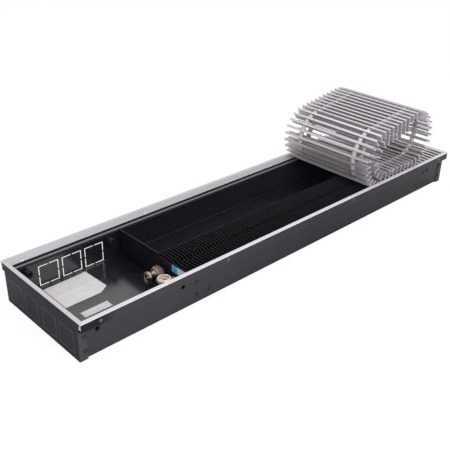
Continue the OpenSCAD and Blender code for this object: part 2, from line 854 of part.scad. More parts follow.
// I-section of a bar, upright in x-z
module bar_section() {
    w = bar_w / 2;
    h = bar_h / 2;
    v = bar_web / 2;
    f = h - bar_flange;
    polygon([
        [-w, -h], [w, -h], [w, -f], [v, -f], [v, f], [w, f],
        [w, h], [-w, h], [-w, f], [-v, f], [-v, -f], [-w, -f]
    ]);
}

// Puts a piece at a place on the grille's path: its x axis along the heading, its z axis across it
module on_path(p) {
    translate([p[0], 0, p[1]]) rotate([0, -p[2], 0]) children();
}

module bar(p) {
    on_path(p) difference() {
        translate([0, bar_y, 0]) along_y(bar_l) bar_section();
        for (y = spring_y) pin_x([-bar_w, y, 0], 2 * bar_w, spring_hole_r);
    }
}

// The two sleeves that lead on from a bar, over a step that bends by d
module sleeves(p, d, q) {
    start = bar_web / 2 + web_gap;
    on_path(p) for (y = spring_y) difference() {
        pin_x([start, y, 0], sleeve_end(d, q) - start, sleeve_r);
        pin_x([start - cut, y, 0], q + cut, spring_hole_r);
    }
}

// The stretches of spring that run from a bar's web to the end of its sleeves
module springs(p, d, q) {
    on_path(p) for (y = spring_y)
        pin_x([-bar_web / 2, y, 0], sleeve_end(d, q) + bar_web / 2 - 0.5, spring_r);
}

module flat_bars() {
    color(anodised) place() for (k = [0:flat_bars_n - 1]) bar([first_x - k * bar_pitch, bar_z, 180]);
}

module flat_sleeves() {
    color(sleeve_grey) place() for (k = [0:flat_bars_n - 1])
        sleeves([first_x - k * bar_pitch, bar_z, 180], k < flat_bars_n - 1 ? 0 : turn_a, bar_pitch);
}

// In the flat part each spring is one straight run, with an eye plate behind the first bar
module flat_springs() {
    l = (flat_bars_n - 1) * bar_pitch + sleeve_end(turn_a, bar_pitch);
    eye = bar_w / 2 - hole_play;
    color(steel) place() translate([first_x, 0, bar_z]) for (y = spring_y) {
        pin_x([-l, y, 0], l + eye, spring_r);
        pin_x([bar_web / 2 + web_gap, y, 0], eye - bar_web / 2 - web_gap, spring_r + 1.6);
    }
}

module turn_bar(k) {
    color(anodised) place() bar(turn_place(k));
}

module turn_link(k) {
    color(sleeve_grey) place() {
        sleeves(turn_place(k), turn_a, bar_pitch);
        springs(turn_place(k), turn_a, bar_pitch);
    }
}

module roll_bars() {
    color(anodised) place() for (k = [0:roll_bars_n - 1]) bar(roll_place(k));
}

module roll_sleeves() {
    color(sleeve_grey) place() for (k = [0:roll_bars_n - 2])
        sleeves(roll_place(k), roll_turn(k), roll_pitch(k));
}

module roll_springs() {
    color(steel) place() for (k = [0:roll_bars_n - 2]) springs(roll_place(k), roll_turn(k), roll_pitch(k));
}

trough();
end_wall_left();
end_wall_right();
frame_front();
frame_back();
frame_left();
frame_right();
frame_rivets();
bearing_tape_front();
bearing_tape_back();
partition_left();
partition_right();
exchanger_fins();
exchanger_tubes();
exchanger_saddles();
rear_connector();
rear_union_nut();
front_connector();
front_union_nut();
vent_cap();
vent_screw();
wall_bushes();
wall_rivets();
floor_leaflet();
floor_label();
partition_sticker();
flat_bars();
flat_sleeves();
flat_springs();
for (k = [1:turn_bars]) {
    turn_bar(k);
    turn_link(k);
}
roll_bars();
roll_sleeves();
roll_springs();
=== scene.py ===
import json
import math

import bmesh
import bpy
from mathutils import Euler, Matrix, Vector


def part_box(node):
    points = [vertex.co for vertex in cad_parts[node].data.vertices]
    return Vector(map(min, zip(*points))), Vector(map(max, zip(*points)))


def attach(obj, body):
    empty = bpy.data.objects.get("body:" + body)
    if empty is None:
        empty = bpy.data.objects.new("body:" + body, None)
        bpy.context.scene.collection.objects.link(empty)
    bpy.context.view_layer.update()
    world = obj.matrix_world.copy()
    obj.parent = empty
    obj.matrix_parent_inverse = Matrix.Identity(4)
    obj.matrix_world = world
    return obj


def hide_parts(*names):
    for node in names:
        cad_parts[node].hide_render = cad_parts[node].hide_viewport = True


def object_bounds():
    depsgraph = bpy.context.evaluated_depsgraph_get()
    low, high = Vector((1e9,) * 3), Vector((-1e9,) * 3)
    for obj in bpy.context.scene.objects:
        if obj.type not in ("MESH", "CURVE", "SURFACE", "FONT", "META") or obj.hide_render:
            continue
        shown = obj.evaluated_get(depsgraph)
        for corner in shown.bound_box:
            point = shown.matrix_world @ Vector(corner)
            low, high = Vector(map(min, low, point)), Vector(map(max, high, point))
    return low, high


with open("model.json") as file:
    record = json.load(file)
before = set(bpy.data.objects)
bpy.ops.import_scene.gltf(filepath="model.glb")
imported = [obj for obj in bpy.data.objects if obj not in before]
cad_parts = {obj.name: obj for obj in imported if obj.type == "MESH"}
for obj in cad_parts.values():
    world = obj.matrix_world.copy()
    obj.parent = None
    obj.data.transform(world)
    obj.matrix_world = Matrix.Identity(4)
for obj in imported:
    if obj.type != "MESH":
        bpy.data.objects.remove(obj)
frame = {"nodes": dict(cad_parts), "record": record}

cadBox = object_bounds()
nodes = frame["nodes"]
record = frame["record"]
bodyOf = {name: body for body, names in record["behaviour"]["bodies"].items() for name in names}
slotOf = {entry["node"]: entry["material_slot"] for entry in record["subparts"]}
print("frame loaded:", len(nodes), "nodes")

mm = 0.001


# Materials: a wire carries a value or a colour, a board holds the nodes of one finish or of the world
class Wire:
    def __init__(self, board, socket):
        self.board = board
        self.socket = socket

    def maths(self, operation, *values):
        return self.board.node("ShaderNodeMath", {"operation": operation}, dict(enumerate(values)))

    def __add__(self, other):
        return self.maths("ADD", self, other)

    def __radd__(self, other):
        return self.maths("ADD", other, self)

    def __sub__(self, other):
        return self.maths("SUBTRACT", self, other)

    def __rsub__(self, other):
        return self.maths("SUBTRACT", other, self)

    def __mul__(self, other):
        return self.maths("MULTIPLY", self, other)

    def __rmul__(self, other):
        return self.maths("MULTIPLY", other, self)

    def __gt__(self, other):
        return self.maths("GREATER_THAN", self, other)

    def __lt__(self, other):
        return self.maths("LESS_THAN", self, other)

    def __abs__(self):
        return self.maths("ABSOLUTE", self)


class Board:
    def __init__(self, owner, outputKind):
        owner.use_nodes = True
        self.tree = owner.node_tree
        self.tree.nodes.clear()
        self.output = self.tree.nodes.new(outputKind)

    def node(self, kind, settings=None, inputs=None, output=0):
        made = self.tree.nodes.new(kind)
        for key, value in (settings or {}).items():
            setattr(made, key, value)
        for key, value in (inputs or {}).items():
            if isinstance(value, Wire):
                self.tree.links.new(value.socket, made.inputs[key])
            else:
                made.inputs[key].default_value = value
        return Wire(self, made.outputs[output])

    def rays(self, kind):
        return self.node("ShaderNodeLightPath", output=kind)

    def show(self, shader):
        self.tree.links.new(shader.socket, self.output.inputs["Surface"])


class Finish(Board):
    def __init__(self, name):
        self.material = bpy.data.materials.new(name)
        super().__init__(self.material, "ShaderNodeOutputMaterial")

    def place(self):
        return self.node("ShaderNodeTexCoord", output="Object")

    def facing(self, axis):
        return self.part(self.node("ShaderNodeNewGeometry", output="True Normal"), axis)

    def part(self, vector, axis):
        return self.node("ShaderNodeSeparateXYZ", inputs={0: vector}, output=axis)

    def scaled(self, place, x, y, z):
        return self.node("ShaderNodeVectorMath", {"operation": "MULTIPLY"}, {0: place, 1: (x, y, z)})

    def noise(self, place, scale, detail, roughness):
        return self.node("ShaderNodeTexNoise", inputs={
            "Vector": place, "Scale": scale, "Detail": detail, "Roughness": roughness})

    def spread(self, value, low, high, fromLow=0.3, fromHigh=0.7):
        # most of a noise lies between the two default values
        return self.node("ShaderNodeMapRange", inputs={
            "Value": value, "From Min": fromLow, "From Max": fromHigh, "To Min": low, "To Max": high})

    def rise(self, value, start, end):
        return self.spread(value, 0, 1, start, end)

    def between(self, value, low, high):
        return (value > low) * (value < high)

    def mixed(self, factor, first, second):
        # sockets 6 and 7 and output 2 are the colours of a Mix node
        return self.node("ShaderNodeMix", {"data_type": "RGBA"}, {0: factor, 6: first, 7: second}, 2)

    def bump(self, height, distance, strength):
        return self.node("ShaderNodeBump", inputs={
            "Height": height, "Distance": distance, "Strength": strength})

    def surface(self, **values):
        named = {key.replace("_", " "): value for key, value in values.items()}
        self.show(self.node("ShaderNodeBsdfPrincipled", inputs=named, output="BSDF"))
        return self.material


def tone(value, red=1.0, green=1.0, blue=1.0):
    return (value * red, value * green, value * blue, 1.0)


# In all the finishes a noise is given as scale, detail and roughness, a bump as depth and strength,
# a rise as the values at which its mask is 0 and 1, and a band as its lower and upper end
powderCoat = {
    "base": tone(0.0085, 0.94, 0.98, 1.3), "dusty": tone(0.016, 0.96, 1.0, 1.2),
    "dust": (75.0, 6.0, 0.7), "dustRise": (0.48, 0.74), "dustShare": 0.6,
    "peel": (900.0, 3.0, 0.5), "bump": (0.025 * mm, 0.5),
    "smudges": (11.0, 4.0, 0.6), "smooth": 0.22, "rough": 0.34,
    "specular": 0.22, "specularTint": tone(1.0, 0.87, 0.87, 1.0), "coatRough": 0.16, "coatIor": 1.65,
}
troughCoat = dict(
    powderCoat, outside=108.5 * mm,
    # the outside paled towards the left end is a painted reflection
    handled=tone(0.029, 1.0, 0.98, 1.16), handledRise=(0.06, -0.34),
    # the inside paled towards the far end is a painted fill light, lifting the shade there
    shaded=tone(0.016, 0.92, 1.0, 1.35), shadedRise=(-0.02, 0.24),
    # the light line along the bend under the rim is a painted highlight
    bendLine=tone(0.085, 1.0, 0.98, 1.1), bendBand=(52.1 * mm, 52.9 * mm),
    # the near-black left corner of the rim is a painted shade
    corner=tone(0.002), cornerRise=(-0.435, -0.465),
    bayEnd=-0.28, bayGloss=1.0, backGloss=0.25, farGloss=0.75)
# the end walls take a lighter, bluer copy of the coat with less specular: painted light
endWallCoat = dict(
    powderCoat, base=(0.0135, 0.013, 0.023, 1.0), dusty=(0.019, 0.019, 0.029, 1.0),
    # the end wall's faces turned to the front and back are painted lighter, painted light
    bare=tone(0.21, 1.0, 0.99, 1.05), flange=tone(0.05, 1.0, 0.98, 1.14),
    specular=0.06, smooth=0.3, rough=0.42)
darkCoat = dict(powderCoat, specular=0.06)
bushCoat = dict(darkCoat, base=tone(0.013, 0.94, 0.98, 1.3), specular=0.15)
partitionCoat = dict(
    darkCoat, base=tone(0.0115, 0.94, 0.98, 1.3), specular=0.1,
    bare=tone(0.05, 0.98, 1.0, 1.1), edgeDeep=0.9 * mm)

# The punched slits of the left end wall, inside the plate's own outline
slits = {"band": (8 * mm, 52 * mm), "reach": 104 * mm, "wallEdge": 1.6 * mm}
facingLimit = 0.5
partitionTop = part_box("partition_left")[1].z


def makePowderCoat(name, look, cutEdge=None):
    # near-black satin paint: orange peel, a little dust, and a paler tone on the cut edges, bare metal and a
    # painted highlight
    f = Finish(name)
    place = f.place()
    peel = f.noise(place, *look["peel"])
    smudges = f.noise(place, *look["smudges"])
    dust = f.rise(f.noise(place, *look["dust"]), *look["dustRise"])
    colour = f.mixed(dust * look["dustShare"], look["base"], look["dusty"])
    coat = 0.0
    if "outside" in look:
        colour, coat = paintTrough(f, place, look, colour)
    # faces turned to the front and back are painted lighter, painted light
    if "flange" in look:
        colour = f.mixed(abs(f.facing("Y")) > facingLimit, colour, look["flange"])
    # the cut edges take a paler tone: bare metal and a painted highlight on the end wall's slits, a painted
    # highlight on the partition's top edge
    if cutEdge:
        colour = f.mixed(cutEdge(f, place, look), colour, look["bare"])
    return f.surface(
        Base_Color=colour, Roughness=f.spread(smudges, look["smooth"], look["rough"]),
        Specular_IOR_Level=look["specular"], Specular_Tint=look["specularTint"],
        Coat_Weight=coat, Coat_Roughness=look["coatRough"], Coat_IOR=look["coatIor"],
        Normal=f.bump(peel, *look["bump"]))


def paintTrough(f, place, look, colour):
    # outside: paler towards the left end, a painted reflection, a light line along the bend, a painted
    # highlight, and a dark left corner of the rim, a painted shade; inside: paler towards the far end, a
    # painted fill light
    along = f.part(place, "X")
    height = f.part(place, "Z")
    outer = abs(f.part(place, "Y")) > look["outside"]
    colour = f.mixed(outer * f.rise(along, *look["handledRise"]), colour, look["handled"])
    far = f.rise(along, *look["shadedRise"])
    colour = f.mixed((1 - outer) * far, colour, look["shaded"])
    colour = f.mixed(outer * f.between(height, *look["bendBand"]), colour, look["bendLine"])
    rim = outer * (height > look["bendBand"][1])
    colour = f.mixed(rim * f.rise(along, *look["cornerRise"]), colour, look["corner"])
    # inside: glossy in the bay and again at the far end
    nearGloss = f.spread(along, look["bayGloss"], look["backGloss"], look["bayEnd"] - mm, look["bayEnd"])
    return colour, (1 - outer) * (nearGloss + far * look["farGloss"])


def endWallSlits(f, place, look):
    turned = abs(f.facing("X")) < facingLimit
    atPlate = f.part(place, "X") < cadBox[0].x + slits["wallEdge"]
    across = abs(f.part(place, "Y")) < slits["reach"]
    return turned * atPlate * across * f.between(f.part(place, "Z"), *slits["band"])


# the top edge of the partition is painted paler, a painted highlight
def partitionEdge(f, place, look):
    return f.part(place, "Z") > partitionTop - look["edgeDeep"]


# The streaks run along each profile, fine across it and long in its own direction
alongX = 0
alongY = 1
grain = {
    "fine": 2400.0, "long": 10.0, "streaks": (1.0, 3.0, 0.6), "patches": (14.0, 3.0, 0.5),
    "streakShare": 0.7, "patchShare": 0.3, "patchGloss": 0.4, "glossBand": (0.45, 0.95),
}
anodised = {
    "base": tone(0.665, 1.0, 0.955, 1.02), "streak": tone(0.6, 1.0, 0.96, 1.03),
    "smooth": 0.34, "rough": 0.5, "metal": 0.05, "bump": (0.012 * mm, 0.5),
}
# the end profiles take a darker copy of the anodised finish, painted shade
anodisedEndsShaded = dict(anodised, base=tone(0.56, 1.02, 0.955, 0.96), streak=tone(0.51, 1.02, 0.96, 0.97))
# the back profile takes a lighter copy, painted light, with its top faces painted darker, painted shade
anodisedBack = dict(
    anodised, base=tone(0.72, 1.0, 0.96, 1.02), streak=tone(0.65, 1.0, 0.965, 1.03),
    upper=tone(0.5, 1.0, 0.965, 1.02), metal=0.16, smooth=0.24, rough=0.38)
barMetal = {
    "base": tone(0.66, 1.0, 0.95, 0.995), "streak": tone(0.54, 1.0, 0.95, 1.0),
    "smooth": 0.36, "rough": 0.48, "metal": 0.72, "bump": (0.015 * mm, 0.5),
}


def makeGrain(name, look, axis):
    # extruded and anodised: fine streaks along the profile, cloudy patches over them, and where asked the top
    # faces painted darker, a painted shade
    f = Finish(name)
    place = f.place()
    stretch = [grain["fine"]] * 3
    stretch[axis] = grain["long"]
    streaks = f.noise(f.scaled(place, *stretch), *grain["streaks"])
    patches = f.noise(place, *grain["patches"])
    share = f.spread(streaks, 0, grain["streakShare"]) + f.spread(patches, 0, grain["patchShare"])
    colour = f.mixed(share, look["base"], look["streak"])
    if "upper" in look:
        colour = f.mixed(f.facing("Z") > facingLimit, colour, look["upper"])
    uneven = streaks + patches * grain["patchGloss"]
    return f.surface(
        Base_Color=colour, Metallic=look["metal"],
        Roughness=f.spread(uneven, look["smooth"], look["rough"], *grain["glossBand"]),
        Normal=f.bump(streaks, *look["bump"]))


plating = {
    "stains": (190.0, 5.0, 0.6), "stainRise": (0.42, 0.7), "fine": (2400.0, 2.0, 0.5),
    "bump": (0.008 * mm, 0.4), "metal": 1.0,
}
nutPlating = dict(
    plating, base=tone(0.51, 1.0, 0.72, 0.58), dark=tone(0.38, 1.0, 0.68, 0.53),
    smooth=0.22, rough=0.34, metal=0.8)
ventPlating = dict(
    plating, base=tone(0.69, 1.0, 0.87, 0.79), dark=tone(0.5, 1.0, 0.82, 0.70),
    smooth=0.2, rough=0.32, metal=0.55)
springPlating = dict(plating, base=tone(0.6), dark=tone(0.42), smooth=0.25, rough=0.4)
pinPlating = dict(
    plating, base=tone(0.15, 1.0, 1.0, 1.05), dark=tone(0.09, 1.0, 1.0, 1.05), smooth=0.3, rough=0.45)


def makePlated(name, look):
    # plated fittings: bright, with thin stains
    f = Finish(name)
    place = f.place()
    stains = f.noise(place, *look["stains"])
    colour = f.mixed(f.rise(stains, *look["stainRise"]), look["base"], look["dark"])
    return f.surface(
        Base_Color=colour, Metallic=look["metal"], Roughness=f.spread(stains, look["smooth"], look["rough"]),
        Normal=f.bump(f.noise(place, *look["fine"]), *look["bump"]))


rivetSteel = {
    # the plain white of the back rivets is a painted highlight
    "back": tone(0.97, 1.0, 0.99, 1.0), "front": tone(0.15, 1.0, 1.0, 1.1),
    "stains": (600.0, 3.0, 0.5), "bump": (0.01 * mm, 0.4), "smooth": 0.2, "rough": 0.34,
}


def makeRivetFinish(name, look):
    # the back profile's rivets plain white and not metallic, a painted highlight; blackened ones in the front
    f = Finish(name)
    place = f.place()
    stains = f.noise(place, *look["stains"])
    atBack = f.part(place, "Y") > 0
    return f.surface(
        Base_Color=f.mixed(atBack, look["front"], look["back"]), Metallic=1 - atBack,
        Roughness=f.spread(stains, look["smooth"], look["rough"]), Normal=f.bump(stains, *look["bump"]))


# The ends of the lip, the groove and the collar are measured from the mouth
connectorChrome = {
    # the groove's black is a painted shade
    "lip": tone(0.2, 1.0, 0.93, 0.88), "groove": tone(0.02, 1.0, 0.9, 0.85),
    "collar": tone(0.5, 1.0, 0.80, 0.69), "barrel": tone(0.42, 1.0, 0.86, 0.84),
    # the bore's near black is a painted shade
    "stain": tone(0.08, 1.0, 0.85, 0.75), "bore": tone(0.025, 1.0, 0.95, 0.92),
    "lipEnd": 2.1 * mm, "grooveEnd": 3.2 * mm, "collarEnd": 8.2 * mm, "boreRadius": 8.3 * mm,
    "stains": (230.0, 5.0, 0.6), "stainBand": (0.45, 0.7), "stainShare": 0.6,
    "fine": (2600.0, 2.0, 0.5), "bump": (0.006 * mm, 0.4), "smooth": 0.2, "rough": 0.32,
}


def makeConnectorFinish(name, look, low, high):
    # dark lip, then the groove and the bore inside the collar painted black, a painted shade, bronze collar,
    # then a dark chrome barrel
    f = Finish(name)
    place = f.place()
    depth = f.part(place, "X") - low.x
    acrossY = f.part(place, "Y") - (low.y + high.y) / 2
    acrossZ = f.part(place, "Z") - (low.z + high.z) / 2
    inCollar = depth < look["collarEnd"]
    inBore = inCollar * (acrossY * acrossY + acrossZ * acrossZ < look["boreRadius"] ** 2)
    stains = f.noise(place, *look["stains"])
    stained = f.spread(stains, 0, look["stainShare"], *look["stainBand"])
    colour = f.mixed(stained, f.mixed(inCollar, look["barrel"], look["collar"]), look["stain"])
    colour = f.mixed(depth < look["grooveEnd"], colour, look["groove"])
    colour = f.mixed(depth < look["lipEnd"], colour, look["lip"])
    colour = f.mixed(inBore, colour, look["bore"])
    return f.surface(
        Base_Color=colour, Metallic=1.0, Roughness=f.spread(stains, look["smooth"], look["rough"]),
        Normal=f.bump(f.noise(place, *look["fine"]), *look["bump"]))


tubePaint = {
    "base": tone(0.012), "second": tone(0.02, 1.1, 0.95, 0.9), "smooth": 0.35, "rough": 0.5,
    "fine": (500.0, 3.0, 0.5), "clouds": (22.727, 4.0, 0.6), "bump": (0.03 * mm, 0.7),
}
blankPaper = {
    "base": tone(0.77, 1.0, 0.975, 1.01), "second": tone(0.69, 1.0, 0.975, 1.01), "smooth": 0.5, "rough": 0.7,
    "fine": (1500.0, 3.0, 0.5), "clouds": (68.182, 4.0, 0.6), "bump": (0.02 * mm, 0.7),
}
sleevePlastic = {
    "base": tone(0.50, 1.0, 0.965, 0.99), "second": tone(0.43, 1.0, 0.97, 0.99), "smooth": 0.3, "rough": 0.45,
    "fine": (900.0, 3.0, 0.5), "clouds": (40.909, 4.0, 0.6), "bump": (0.02 * mm, 0.7),
}


def makePlain(name, look):
    # paint, plastic and paper: fine grain and a slightly uneven tone
    f = Finish(name)
    place = f.place()
    fine = f.noise(place, *look["fine"])
    clouds = f.noise(place, *look["clouds"])
    return f.surface(
        Base_Color=f.mixed(f.spread(clouds, 0, 1), look["base"], look["second"]),
        Roughness=f.spread(fine, look["smooth"], look["rough"]), Normal=f.bump(fine, *look["bump"]))


finPaint = {
    "base": tone(0.005, 0.9, 1.0, 1.4), "worn": tone(0.013, 0.95, 1.0, 1.25), "leastWorn": 0.5,
    # the paler top edges of the fins are a painted highlight
    "edge": tone(0.046, 0.97, 1.0, 1.15), "edgeDeep": 1.3 * mm,
    # the fins paled towards the far end are a painted fill light
    "far": tone(0.02, 0.9, 1.0, 1.5), "farRise": (0.02, 0.24),
    "alongFins": 150.0, "each": (1.0, 1.0, 0.5), "grainy": (800.0, 3.0, 0.5),
    "bump": (0.02 * mm, 0.5), "specular": 0.2, "smooth": 0.3, "rough": 0.46,
}
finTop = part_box("exchanger_fins")[1].z


def makeFinPaint(name, look):
    # dip-painted fins: each one takes the paint a little differently; paler towards the far end, a painted
    # fill light, and paler top edges, a painted highlight
    f = Finish(name)
    place = f.place()
    each = f.noise(f.scaled(place, look["alongFins"], 0, 0), *look["each"])
    grainy = f.noise(place, *look["grainy"])
    worn = f.spread(each, 0, 1) * f.spread(grainy, look["leastWorn"], 1)
    colour = f.mixed(worn, look["base"], look["worn"])
    # paler towards the far end: painted fill light
    colour = f.mixed(f.rise(f.part(place, "X"), *look["farRise"]), colour, look["far"])
    # paler top edges: painted highlight
    colour = f.mixed(f.part(place, "Z") > finTop - look["edgeDeep"], colour, look["edge"])
    return f.surface(
        Base_Color=colour, Specular_IOR_Level=look["specular"],
        Roughness=f.spread(grainy, look["smooth"], look["rough"]), Normal=f.bump(grainy, *look["bump"]))


bearingTape = {
    "foam": tone(0.012), "strip": tone(0.21, 1.0, 0.97, 1.06), "leastRubbed": 0.8,
    "stripTo": 109.5 * mm, "stripLow": 57.4 * mm,
    "fine": (1800.0, 3.0, 0.5), "bump": (0.08 * mm, 0.7), "specular": 0.3, "smooth": 0.6, "rough": 0.8,
}


def makeTape(name, look):
    # dark foam with a paler strip along its top
    f = Finish(name)
    place = f.place()
    fine = f.noise(place, *look["fine"])
    onTop = f.part(place, "Z") > look["stripLow"]
    inStrip = abs(f.part(place, "Y")) < look["stripTo"]
    paleStrip = onTop * inStrip * f.spread(fine, look["leastRubbed"], 1)
    return f.surface(
        Base_Color=f.mixed(paleStrip, look["foam"], look["strip"]), Specular_IOR_Level=look["specular"],
        Roughness=f.spread(fine, look["smooth"], look["rough"]), Normal=f.bump(fine, *look["bump"]))


blankSticker = {
    "blue": (0.04, 0.54, 0.98, 1.0), "white": tone(0.95, 1.0, 0.98, 1.04), "blueShare": 0.36,
    "clouds": (500.0, 3.0, 0.5), "bump": (0.01 * mm, 0.4), "smooth": 0.3, "rough": 0.4,
}


def makeSticker(name, look, low, high):
    # the rear third is light blue, the rest white, and both are blank
    f = Finish(name)
    place = f.place()
    blue = f.part(place, "Y") > high.y - (high.y - low.y) * look["blueShare"]
    clouds = f.noise(place, *look["clouds"])
    return f.surface(
        Base_Color=f.mixed(blue, look["white"], look["blue"]),
        Roughness=f.spread(clouds, look["smooth"], look["rough"]), Normal=f.bump(clouds, *look["bump"]))


# the end profiles take the darker copy, painted shade
frameAcross = makeGrain("anodisedAcross", anodisedEndsShaded, alongY)
slotFinish = {
    "sheet_black": makePowderCoat("powderCoatBlack", troughCoat),
    "fin_black": makeFinPaint("finPaint", finPaint),
    "tube_copper": makePlain("tubePaint", tubePaint),
    "tape_grey": makeTape("bearingTape", bearingTape),
    "bush_black": makePowderCoat("bushPaint", bushCoat),
    "paper_white": makePlain("blankPaper", blankPaper),
    "sleeve_grey": makePlain("sleevePlastic", sleevePlastic),
    "rivet_steel": makeRivetFinish("rivetSteel", rivetSteel),
    "fitting_dark": makeConnectorFinish("connectorChrome", connectorChrome, *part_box("rear_connector")),
    "fitting_nickel": makePlated("nutNickel", nutPlating),
    "spring_steel": makePlated("springWire", springPlating),
    "sticker_blue": makeSticker("blankSticker", blankSticker, *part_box("partition_sticker")),
    "frame_aluminium": makeGrain("anodisedAlong", anodised, alongX),
    "bar_aluminium": makeGrain("barAluminium", barMetal, alongY),
}
# Nodes that look unlike the others of their slot
ownFinish = {
    "end_wall_left": makePowderCoat("endWallPaint", endWallCoat, endWallSlits),
    "end_wall_right": makePowderCoat("endWallRightPaint", endWallCoat),
    "wall_rivets": makePowderCoat("rivetPaint", darkCoat),
    "frame_back": makeGrain("anodisedBack", anodisedBack, alongX),
    "frame_left": frameAcross,
    "frame_right": frameAcross,
    "vent_cap": makePlated("ventNickel", ventPlating),
    "partition_left": makePowderCoat("partitionPaint", partitionCoat, partitionEdge),
    "partition_right": makePowderCoat("partitionPaintRight", partitionCoat, partitionEdge),
}
print("finishes made:", len(bpy.data.materials))

for name, shown in nodes.items():
    shown.data.materials.clear()
    shown.data.materials.append(ownFinish.get(name, slotFinish[slotOf[name]]))


# Pieces
meshCare = {"weld": 0.001 * mm, "flatAngle": 1}


def camel(name):
    words = name.split("_")
    return words[0] + "".join(word.capitalize() for word in words[1:])


def addPiece(pieceName, mesh, nodeName, slotName, finish=None):
    # a new piece rides with the node it belongs to
    piece = bpy.data.objects.new(pieceName, mesh)
    bpy.context.scene.collection.objects.link(piece)
    mesh.materials.clear()
    mesh.materials.append(finish or slotFinish[slotName])
    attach(piece, bodyOf[nodeName])
    return piece


def smoothTo(mesh, sharpAngle):
    mesh.shade_smooth()
    mesh.set_sharp_from_angle(angle=math.radians(sharpAngle))


def closedMesh(bm, name):
    bmesh.ops.recalc_face_normals(bm, faces=bm.faces)
    mesh = bpy.data.meshes.new(name)
    bm.to_mesh(mesh)
    bm.free()
    return mesh


# Eased edges, for the highlights along them
barNodes = [name for name in nodes if name.endswith("_bars") or name.startswith("turn_bar")]
easing = {
    "bars": {"nodes": barNodes, "width": 0.25 * mm, "segments": 2, "sharp": 35},
    "frame": {"nodes": ("frame_front", "frame_back", "frame_left", "frame_right"),
              "width": 0.35 * mm, "segments": 2, "sharp": 35},
    "sleeves": {"nodes": ("flat_sleeves", "roll_sleeves"), "width": 0.5 * mm, "segments": 2, "sharp": 50},
    "nuts": {"nodes": ("rear_union_nut", "front_union_nut"), "width": 0.5 * mm, "segments": 3, "sharp": 25},
    "vent": {"nodes": ("vent_cap", "vent_screw"), "width": 0.3 * mm, "segments": 2, "sharp": 30},
}


def easedCopy(nodeName, look):
    mesh = nodes[nodeName].data.copy()
    bm = bmesh.new()
    bm.from_mesh(mesh)
    bmesh.ops.remove_doubles(bm, verts=bm.verts, dist=meshCare["weld"])
    bmesh.ops.dissolve_limit(bm, angle_limit=math.radians(meshCare["flatAngle"]),
                             verts=bm.verts, edges=bm.edges)
    bm.to_mesh(mesh)
    bm.free()
    mesh.name = camel(nodeName)
    smoothTo(mesh, look["sharp"])
    piece = addPiece(camel(nodeName), mesh, nodeName, slotOf[nodeName], ownFinish.get(nodeName))
    bevel = piece.modifiers.new("easedEdges", "BEVEL")
    bevel.width = look["width"]
    bevel.segments = look["segments"]
    bevel.limit_method = "ANGLE"
    bevel.angle_limit = math.radians(look["sharp"])
    bevel.harden_normals = True
    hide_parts(nodeName)


for look in easing.values():
    for name in look["nodes"]:
        easedCopy(name, look)
print("bars, frame, sleeves and fittings eased")


# Ends of the blind rivets: each outline is a list of depth below the tip and radius, in millimetres,
# way 1 is outwards from the casing and -1 inwards
headLook = {"sides": 28, "sharp": 40, "way": 1, "below": 0.0, "lower": 0.0, "outline": (
    (3.4, 1.5), (2.0, 1.5), (2.0, 3.7), (1.5, 3.75), (0.9, 3.5),
    (0.4, 3.0), (0.1, 2.4), (0.0, 1.9), (0.15, 1.6), (0.6, 1.5))}
pinLook = {"sides": 16, "way": 1, "below": 0.3 * mm, "lower": 0.0}
wallPin = dict(pinLook, outline=((1.0, 1.25), (0.2, 1.25), (0.0, 0.875)))
framePin = dict(pinLook, outline=((1.0, 0.8), (0.2, 0.8), (0.0, 0.56)))
innerHead = dict(
    pinLook, way=-1, below=-4.4 * mm, lower=2.0 * mm, outline=((1.0, 1.8), (0.2, 1.8), (0.0, 1.26)))


def looseBoxes(nodeName):
    # lowest and highest corner of each loose solid in a node
    bm = bmesh.new()
    bm.from_mesh(nodes[nodeName].data)
    bmesh.ops.remove_doubles(bm, verts=bm.verts, dist=meshCare["weld"])
    left = set(bm.verts)
    boxes = []
    while left:
        queue = [left.pop()]
        found = list(queue)
        while queue:
            for edge in queue.pop().link_edges:
                for vert in edge.verts:
                    if vert in left:
                        left.remove(vert)
                        queue.append(vert)
                        found.append(vert)
        low = Vector([min(vert.co[axis] for vert in found) for axis in range(3)])
        high = Vector([max(vert.co[axis] for vert in found) for axis in range(3)])
        boxes.append((low, high))
    bm.free()
    return sorted(boxes, key=lambda box: tuple(box[0]))


def joinRows(bm, rows, around):
    # faces from each row to the next; a row of a single point becomes the middle of a fan
    for first, second in zip(rows, rows[1:]):
        for k in range(around):
            n = (k + 1) % around
            corners = (first[k % len(first)], first[n % len(first)],
                       second[n % len(second)], second[k % len(second)])
            bm.faces.new(list(dict.fromkeys(corners)))


def rivetEnds(pieceName, nodeName, look):
    # one end for each rivet of the node
    bm = bmesh.new()
    for low, high in looseBoxes(nodeName):
        middle = (low + high) / 2
        side = look["way"] if middle.y > 0 else -look["way"]
        tip = (low.y if side < 0 else high.y) - side * look["below"]
        middle.z -= look["lower"]
        rings = []
        for depth, radius in look["outline"]:
            ring = []
            for k in range(look["sides"]):
                turn = 2 * math.pi * k / look["sides"]
                ring.append(bm.verts.new((
                    middle.x + radius * mm * math.cos(turn),
                    tip - side * depth * mm,
                    middle.z + radius * mm * math.sin(turn))))
            rings.append(ring)
        joinRows(bm, rings, look["sides"])
        bm.faces.new(rings[0])
        bm.faces.new(rings[-1])
    return closedMesh(bm, pieceName)


